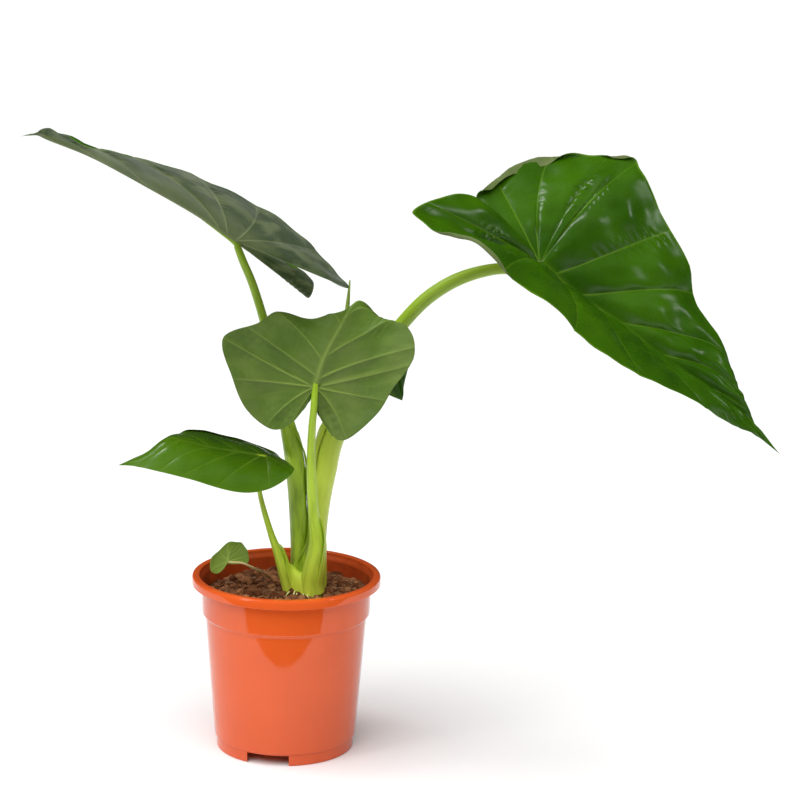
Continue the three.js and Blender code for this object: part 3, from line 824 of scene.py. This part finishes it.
def make_crumbs():
    """Coir crumbs and bark bits, scattered over the soil."""
    draw = random.Random(5)
    template = bmesh.new()
    bmesh.ops.create_icosphere(template, subdivisions=2, radius=1)
    ball = [v.co.copy() for v in template.verts]
    ball_faces = [[v.index for v in f.verts] for f in template.faces]
    template.free()
    heap = Heap()
    for k in range(1150):
        x, y, z = on_soil(draw, SOIL.radius - 3)
        size = 0.9 + 4.6 * draw.random() ** 2.4
        stretch = Vector((draw.uniform(0.7, 1.7), draw.uniform(0.6, 1.1), draw.uniform(0.45, 0.9)))
        turn = Matrix.Rotation(draw.uniform(0, 6.3), 3, "Z")
        turn = turn @ Matrix.Rotation(draw.uniform(-0.7, 0.7), 3, "X")
        tone = draw.random() ** 1.6
        seed = Vector((k * 1.7, k * 0.3, 0))
        spots = []
        for corner in ball:
            lumps = 0.45 * noise.noise(corner * 1.6 + seed) + 0.2 * noise.noise(corner * 4 + seed)
            spot = turn @ Vector(a * b * size for a, b in zip(corner * (1 + lumps), stretch))
            spots.append((spot.x + x, spot.y + y, spot.z + z + size * 0.15))
        heap.add(spots, ball_faces, tone)
    heap.piece("coir_crumbs", coir_clump(), "soil_mix")


def make_fibres():
    """Fine coir fibres lying over the soil, more of them to the right."""
    draw = random.Random(11)
    heap = Heap()
    for _ in range(620):
        x, y, _z = on_soil(draw, SOIL.radius - 6)
        if x < 10 and draw.random() < 0.45:
            continue
        heading = draw.uniform(0, 2 * math.pi)
        length = draw.uniform(6, 26)
        bend = draw.uniform(-1.6, 1.6)
        thick = draw.uniform(0.12, 0.3)
        lift = draw.uniform(0.3, 2.2)
        steps = 9
        route = []
        for s in range(steps):
            u = s / (steps - 1)
            angle = heading + bend * u
            x += math.cos(angle) * length / steps
            y += math.sin(angle) * length / steps
            if math.hypot(x, y) > SOIL.radius - 2:
                break
            rise = lift * math.sin(math.pi * u) + 0.9
            route.append((x, y, soil_height(x, y) + rise, thick * (1 - 0.6 * u)))
        if len(route) < 5:
            continue
        spots, sheet, _marks = tube(route, 12, 4)
        heap.add(spots, sheet, draw.random())
    heap.piece("coir_fibres", coir_fibre(), "soil_mix")


# ---- blades


def midrib_stations(leaf):
    """Steps along the midrib that both halves share, closer together where a side vein leaves it."""
    marks = [np.linspace(0, 1, leaf["grid"][1])]
    for half in (leaf["left"], leaf["right"]):
        last_fan, parts = len(half["fan"]) - 1, len(half["side"]) + 1
        for start, _end, _size in half["veins"]:
            if start > last_fan:
                marks.append((start + VEIN_ROWS - last_fan) / parts)
    return np.unique(np.round(np.clip(np.concatenate(marks), 0, 1), 5))


def vein_places(half, v):
    """The rib numbers of the cleft, each vein and the tip, at each step v from the midrib to the margin."""
    count = len(half["fan"]) + len(half["side"])
    veins = [start + (end - start) * v**VEIN_SWEEP for start, end, _size in half["veins"]]
    return np.array([0 * v] + veins + [0 * v + count])


def ruled_sheet(leaf, half, side):
    """A function of rib number and reach, 0 at the midrib to 1 at the margin.

    It gives the points, their ribs' two ends, the steps along the midrib, and the upward directions.
    """
    margin = np.array(half["fan"] + half["side"] + [tuple(leaf["midrib"][-1]) + (0,)], float)
    count, last_fan = len(margin) - 1, len(half["fan"]) - 1

    def ends(rib):
        station = np.clip((rib - last_fan) / (count - last_fan), 0, 1)
        outer = smooth(margin, rib / count)
        return smooth(leaf["midrib"], station), outer[..., :3], outer[..., 3:], station

    def sheet(rib, reach):
        inner, outer, arch, station = ends(rib)
        near, far = ends(np.clip(rib - 0.01, 0, count)), ends(np.clip(rib + 0.01, 0, count))
        up = unit(np.cross(far[0] + far[1] - near[0] - near[1], outer - inner)) * side
        across = reach[..., None]
        points = inner + (outer - inner) * across + up * arch * 4 * across * (1 - across)
        return points, inner, outer, station, up
    return sheet, margin


def vein_relief(half, places, v, rib, per_rib, per_v, vein_height):
    """The veins' height and painted line, both 0 to about 1, and the distance in mm to the nearest vein."""
    relief, line, nearest = np.zeros_like(rib), np.zeros_like(rib), np.full(rib.shape, 1e3)
    for (start, end, size), place in zip(half["veins"], places[1:-1]):
        slope = (end - start) * VEIN_SWEEP * np.maximum(v, 0.03) ** (VEIN_SWEEP - 1)
        direction = unit(per_v + per_rib * slope[None, :, None])
        square = per_rib - direction * np.sum(per_rib * direction, -1, keepdims=True)
        away = np.abs(rib - place[None]) * np.linalg.norm(square, axis=-1)
        wide = 0.4 + 0.9 * vein_height * size * (1 - 0.75 * v)
        relief = np.maximum(relief, np.exp(-((away / wide) ** 2)) * size * (1 - 0.85 * v**1.5))
        thin = 0.3 + 0.45 * size * (1 - v)
        line = np.maximum(line, np.exp(-((away / thin) ** 2)) * size * (1 - 0.7 * v))
        nearest = np.minimum(nearest, away)
    return relief, line, nearest


def pillows(places, rib, per_rib):
    """0 on the veins and up to 1 midway between them, and the room between them in mm."""
    share, gap = np.zeros_like(rib), np.zeros_like(rib)
    for low, high in zip(places, places[1:]):
        inside = (rib >= low[None]) & (rib <= high[None])
        share = np.where(inside, (rib - low[None]) / np.maximum(high - low, 1e-6)[None], share)
        gap = np.where(inside, (high - low)[None], gap)
    return 1 - np.abs(2 * share - 1) ** 2.6, gap * np.linalg.norm(per_rib, axis=-1)


def roll_margin(curls, points, rib, reach, length, outer, out, up):
    """Rolls the margin up and over along each curl: round `radius` by `turn`, then on by `flap`."""
    for first, last, radius, turn, flap in curls:
        share = step(first - 0.5, first + 0.5, rib) * (1 - step(last - 0.5, last + 0.5, rib))
        share = share * (1 + 0.15 * ripple(outer, 45, 12))
        bent = turn * np.clip(share, 0, 1)
        rolled, folded = radius * bent, flap * share
        from_edge = (1 - reach) * length
        angle = np.clip((rolled + folded - from_edge) / radius, 0, bent)
        beyond = np.clip(folded - from_edge, 0, None)
        turned = radius * np.sin(angle) + beyond * np.cos(bent)
        spare = (rolled + folded - radius * np.sin(np.minimum(bent, math.pi / 2))) * step(0.4, 1, reach)
        along = turned - np.clip(rolled + folded - from_edge, 0, None) + spare
        rise = radius * (1 - np.cos(angle)) + beyond * np.sin(bent)
        points = points + out * along[..., None] + up * rise[..., None]
    return points


def half_blade(leaf, side, stations):
    """One half of a blade: grids of points, directions up, heights of the upper and under face, and marks."""
    half = leaf["left"] if side > 0 else leaf["right"]
    rib_height, vein_height, bulge, pucker, wave = leaf["relief"]
    sheet, margin = ruled_sheet(leaf, half, side)
    count, last_fan = len(margin) - 1, len(half["fan"]) - 1
    v = 1 - (1 - np.linspace(0, 1, leaf["grid"][2] + 1)) ** 1.4

    fan_rows = [np.linspace(0, last_fan, leaf["grid"][0])]
    fan_rows += [start + VEIN_ROWS for start, _end, _size in half["veins"]]
    fan_rows = np.unique(np.round(np.concatenate(fan_rows), 5))
    fan_rows = fan_rows[(fan_rows >= 0) & (fan_rows < last_fan - 1e-4)]
    rows = np.concatenate([fan_rows, last_fan + stations * (count - last_fan)])
    places = vein_places(half, v)
    rib = np.stack([np.interp(rows, places[:, 0], places[:, j]) for j in range(len(v))], 1)
    reach = np.broadcast_to(v, rib.shape)

    base, inner, outer, station, up = sheet(rib, reach)
    length = np.linalg.norm(outer - inner, axis=-1)
    shift = 0.005
    before, after = np.clip(rib - shift, 0, count), np.clip(rib + shift, 0, count)
    per_rib = (sheet(after, reach)[0] - sheet(before, reach)[0]) / (2 * shift)
    per_v = (sheet(rib, reach + shift)[0] - sheet(rib, reach - shift)[0]) / (2 * shift)
    clear = step(0, 0.07, reach) * step(0, 0.4, rib) * step(0, 10, length)
    veins, lines, nearest = vein_relief(half, places, v, rib, per_rib, per_v, vein_height)

    pillow, gap = pillows(places, rib, per_rib)
    lift = bulge * pillow * np.clip(gap / 34, 0, 1.2) * step(0, 0.2, reach) * (1 - 0.7 * step(0.75, 1, reach))
    travel = reach * length
    crinkle = np.sin(2 * math.pi * travel / PUCKER_PITCH + 2.2 * ripple(base, 24, 3))
    beside = np.exp(-(((nearest - 4.5) / 2.4) ** 2))
    patch = step(-0.3, 0.6, ripple(base, 40, 8)) * step(0.25, 0.45, reach) * (1 - step(0.9, 1, reach))
    lift = lift + pucker * crinkle * beside * patch
    lift = lift + pucker * ripple(base, 16, 5) * pillow * step(0.1, 0.4, reach)
    even = np.linspace(0, 1, 400)
    steps = np.linalg.norm(np.diff(smooth(margin, even)[:, :3], axis=0), axis=1)
    border = np.interp(rib / count, even, np.concatenate([[0], np.cumsum(steps)]))
    frill = np.sin(2 * math.pi * border / FRILL_PITCH + 1.5 * ripple(base, 70, 9))
    lift = (lift + wave * frill * step(0.6, 1, reach)) * clear

    points = base + up * lift[..., None]
    points = roll_margin(half.get("curls", ()), points, rib, reach, length, outer, unit(outer - inner), up)
    facing = unit(np.cross(np.gradient(points, rows, axis=0), np.gradient(points, v, axis=1))) * side
    fan_count = len(fan_rows)
    facing[:fan_count, 0] = unit(facing[: fan_count + 1, 2].sum(0))
    facing[-1] = facing[-2]
    taper = np.sqrt(np.clip((1 - reach) * length / 0.9, 0, 1)) * step(0, 4, length)
    stem_ridge = rib_height * (1 - 0.95 * station) ** 2.4
    from_rib = np.linalg.norm(base - inner, axis=-1)
    ridge = np.exp(-((from_rib / (1.1 * stem_ridge + 0.35)) ** 2))
    thick = BLADE_THICKNESS / 2 * taper
    upper = thick + (0.12 * ridge - 0.25 * np.clip(veins, 0, 1) * vein_height * clear) * taper
    under = thick + (stem_ridge * ridge + vein_height * veins * clear) * taper
    middle = ridge * (1 - 0.5 * step(0.05, 0.5, station))
    marks = dict(
        vein=np.clip(np.maximum(lines * clear, 0.8 * middle), 0, 1), edge=reach * step(0, 10, length),
        ridge=np.clip(np.maximum(veins * clear, middle), 0, 1), rib=np.stack([rib, travel, 0 * rib], -1),
    )
    return dict(points=points, facing=facing, upper=upper, under=under, marks=marks, fan_count=fan_count)


def share_facing(left, right):
    """Gives the points that both halves hold, along the midrib and the cleft, one direction."""
    a, b = left["facing"], right["facing"]
    m, n = left["fan_count"], right["fan_count"]
    middle = unit(a[m:, 0] + b[n:, 0])
    middle[0] = unit(a[0, 0] + b[0, 0])
    a[m:, 0], b[n:, 0] = middle, middle
    a[:m, 0], b[:n, 0] = middle[0], middle[0]
    cleft = unit(a[0] + b[0])
    a[0], b[0] = cleft, cleft
    a[-1], b[-1] = unit(a[-1] + b[-1]), unit(a[-1] + b[-1])


def make_blade(name, leaf, top, under):
    stations = midrib_stations(leaf)
    halves = [half_blade(leaf, 1, stations), half_blade(leaf, -1, stations)]
    share_facing(*halves)
    points, faces, kinds = [], [], []
    marks = dict(vein=[], edge=[], ridge=[], rib=[])
    start = 0
    for side, half in zip((1, -1), halves):
        rows, columns = half["points"].shape[:2]
        for face, height, sign in ((0, half["upper"], 1), (1, half["under"], -1)):
            points.append((half["points"] + half["facing"] * (sign * height)[..., None]).reshape(-1, 3))
            quads = grid_faces(rows, columns, start, flip=side * sign > 0)
            faces.append(quads)
            kinds.append(np.full(len(quads), face))
            start += rows * columns
            for label, values in half["marks"].items():
                marks[label].append(values.reshape(rows * columns, -1).squeeze())
    points = np.concatenate(points) + np.array(leaf["at"], float)
    marks = {label: np.concatenate(values) for label, values in marks.items()}
    faces, kinds = np.concatenate(faces), np.concatenate(kinds)
    return mesh_piece(
        name + "_blade", points, faces, [top, under], ["leaf_" + name],
        indices=kinds, weld=0.002, marks=marks,
    )


# ---- stalks


def joined_line(leaf):
    """The stalk's line, from just under the soil to its CAD end, and on by its tail under the midrib."""
    at = np.array(leaf["at"], float)
    x, y, z, radius = leaf["stalk"][0]
    thin = leaf["stalk"][-1][3]
    line = [(x, y, z - 6, radius)] + leaf["stalk"]
    for station, drop, share in leaf["tail"]:
        spot = smooth(leaf["midrib"], np.array([station]))[0] + at
        line.append((spot[0], spot[1], spot[2] - drop, thin * share))
    return line


def stalk_shape(ridges, depth, seed):
    def shape(u, angle):
        wobble = 0.02 * np.sin(3 * angle + 5 * u + seed) + 0.015 * np.sin(2 * angle - 9 * u)
        return 1 + depth * np.cos(ridges * angle + 1.5 * np.sin(4 * u + seed)) + wobble
    return shape


def make_stalk(name, leaf, skin):
    rings, sides = leaf.get("stalk_grid", (120, 40))
    points, faces, marks = tube(joined_line(leaf), rings, sides, stalk_shape(13, 0.012, len(name)))
    mesh_piece(name + "_stalk", points, faces, [skin], ["stalk_" + name], marks=marks)


def make_sheath(name, leaf, skin):
    """The sheath wrapped round a stalk's foot."""
    rings, steps = 70, 36
    knots = np.array(leaf["sheath"], float)
    z = np.linspace(knots[0, 0], knots[-1, 0], rings)
    place = np.interp(z, knots[:, 0], np.linspace(0, 1, len(knots)))
    values = smooth(knots, place)
    fine = smooth(leaf["stalk"], np.linspace(0, 1, 400))
    centre = np.stack([np.interp(values[:, 0], fine[:, 2], fine[:, k]) for k in range(4)], -1)
    across, deep = line_frames(centre[:, :3])
    w = np.linspace(0, 1, steps)
    angle = np.radians(values[:, 1:2] + (values[:, 2:3] - values[:, 1:2]) * w[None])
    side = np.abs(2 * w - 1)[None]
    flare = values[:, 5:6] * np.where(w < 0.5, step(0.55, 1, side), 0.35 * step(0.55, 1, side))
    thick = values[:, 4:5] * (1 - 0.75 * side**4)
    inner = centre[:, 3:4] + values[:, 3:4] + flare
    direction = across[:, None] * np.cos(angle)[..., None] + deep[:, None] * np.sin(angle)[..., None]
    middle = centre[:, None, :3]
    a = middle + direction * inner[..., None]
    b = middle + direction * (inner + thick)[..., None]
    length = (z - z[0])[:, None] / 60 + 0 * angle
    marks = dict(
        skin=np.stack([np.cos(angle), np.sin(angle), length], -1), height=a[..., 2],
        rim=step(0.93, 1.0, side) * np.ones_like(angle),
    )
    points, faces, doubled = shell(a, b, marks)
    mesh_piece(name + "_sheath", points, faces, [skin], marks=doubled)


def make_stem_base(skin):
    """The short stem at soil level, a lumpy drum mostly hidden by the stalks' feet."""
    sides, rings = 60, 18
    points = []
    top = SOIL.top + 0.2
    for i in range(rings + 1):
        u = i / rings
        z = STEM.bottom + (top - STEM.bottom) * min(1.0, u * 1.3)
        radius = STEM.radius * (1 if u < 0.77 else math.cos((u - 0.77) / 0.23 * math.pi / 2) ** 0.6)
        for k in range(sides):
            angle = 2 * math.pi * k / sides
            lump = 1 + 0.1 * noise.noise(Vector((math.cos(angle) * 2, math.sin(angle) * 2, z / 14)))
            wide = max(radius, 0.5) * lump * 0.92
            points.append((STEM.x + wide * math.cos(angle), STEM.y + wide * math.sin(angle), z - 3 * (1 - u)))
    points = np.array(points)
    marks = dict(skin=points / 20, height=points[:, 2], rim=np.zeros(len(points)))
    faces = ring_faces(rings + 1, sides)
    mesh_piece("stem_foot", points, faces, [skin], ["stem_base"], marks=marks)


def make_stem_web(skin):
    """The fleshy web between the feet of the front stalks, where their sheaths grow together."""
    route = [(3, -11, 153, 7.5), (12, -14, 156, 11), (24, -18, 157, 12), (34, -13, 155, 9.5)]
    rings, sides = 80, 40
    line = np.array(route, float)
    u = np.linspace(0, 1, rings)
    values = smooth(line, u)
    angle = np.linspace(0, math.pi, sides)
    rise = 30 + 14 * np.abs(2 * u - 0.8) ** 1.5 + 2 * np.sin(9 * u)
    points = np.zeros((rings, sides, 3))
    points[..., 0] = values[:, 0:1]
    points[..., 1] = values[:, 1:2] - values[:, 3:4] * 0.82 * np.cos(angle)
    points[..., 2] = values[:, 2:3] + rise[:, None] * np.sin(angle) ** 0.5
    foot = points.copy()
    foot[..., 2] = values[:, 2:3] - 1
    marks = dict(
        skin=np.stack([u[:, None] + 0 * angle, 0 * u[:, None] + angle / 3, points[..., 2] / 60], -1),
        height=points[..., 2], rim=np.zeros((rings, sides)),
    )
    spots, faces, doubled = shell(points, foot, marks)
    mesh_piece("stem_web", spots, faces, [skin], marks=doubled, weld=0.01)


def make_roots(skin):
    """Pale root tips round the foot of the stalks."""
    draw = random.Random(3)
    heap = Heap()
    for k in range(6):
        angle = math.radians(-118 + 11 * k + draw.uniform(-5, 5))
        reach = draw.uniform(23, 27)
        ahead = Vector((math.cos(angle), math.sin(angle)))
        spot = Vector((STEM.x + 3, STEM.y - 3)) + ahead * reach
        out = draw.uniform(1.5, 3.2)
        thick = draw.uniform(0.5, 0.95)
        z = soil_height(*spot) + 1.2
        route = []
        for away, rise, share in ((-4, 2.5, 1.2), (0, 1.2, 1), (out * 0.6, 0, 0.8), (out, -2.4, 0.35)):
            route.append((*(spot + ahead * away), z + rise, thick * share))
        spots, sheet, _marks = tube(route, 12, 10)
        heap.add(spots, sheet)
    points = np.array(heap.points)
    marks = dict(skin=points / 10, height=np.full(len(points), 150.0), rim=np.zeros(len(points)))
    mesh_piece("root_tips", points, heap.faces, [skin], marks=marks)


def make_new_leaf(skin):
    """The rolled new leaf: a tapering spear with its overlapping edge winding down it."""
    def rolled(u, angle):
        seam = (angle - 1.2 - 3.0 * u) % (2 * math.pi) / (2 * math.pi)
        return 0.9 + 0.18 * seam
    points, faces, marks = tube(NEW_LEAF, 90, 40, rolled)
    mesh_piece("new_leaf_roll", points, faces, [skin], ["new_leaf"], marks=marks)


# ---- assembly

make_camera()
make_studio()
make_pot()
make_soil()
make_crumbs()
make_fibres()

glossy = blade_top("blade_top", (31, 68, 0), (56, 98, 2), (106, 146, 30))
# The low leaf's upper face is a lighter copy of the glossy one: painted light and sheen for the light that
# falls on it from above.
low_top_painted_light = blade_top("low_top_painted_light", (46, 84, 2), (74, 112, 10), (116, 150, 44))
# The number after an under face's colours is the strength of its painted shade, strongest on the left leaf.
matt = blade_under("blade_under", (70, 88, 40), (102, 114, 66), (132, 146, 84), 0.2)
left_matt = blade_under("left_under", (66, 84, 42), (102, 114, 74), (138, 148, 100), 1.0, 0.15)
front_matt = blade_under("front_under", (70, 102, 18), (104, 122, 58), (136, 158, 72), 0.25)
small_matt = blade_under("small_under", (84, 116, 30), (124, 146, 56), (172, 190, 96), 0.1)
tall = stalk_skin("tall_stalk", (208, 228, 74), (178, 210, 46), (142, 174, 40))
# The rear stalk's skin is lighter than the front stalk's: painted light against the shade that the leaf above
# casts on it.
rear_painted_light = stalk_skin("rear_stalk", (214, 232, 76), (206, 228, 72), (142, 174, 40), 0.15)
left_skin = stalk_skin("left_stalk", (206, 226, 70), (160, 196, 36), (142, 174, 40), 0.6)
pale = stalk_skin("pale_stalk", (232, 206, 160), (214, 204, 132), (190, 196, 110))
foot = stalk_skin("stem_foot", (214, 214, 140), (204, 216, 90), (176, 204, 56))
spear = stalk_skin("spear", (150, 176, 70), (146, 172, 70), (132, 158, 62))

leaf_skins = dict(  # the upper face, the under face and the stalk
    right=(glossy, matt, rear_painted_light), left=(glossy, left_matt, left_skin), front=(glossy, front_matt, tall),
    low=(low_top_painted_light, matt, tall), small=(small_matt, small_matt, pale),
)
for name, leaf in LEAVES.items():
    top, under, stalk = leaf_skins[name]
    make_blade(name, leaf, top, under)
    make_stalk(name, leaf, stalk)
    if "sheath" in leaf:
        make_sheath(name, leaf, stalk)
make_stem_base(foot)
make_stem_web(tall)
make_roots(foot)
make_new_leaf(spear)
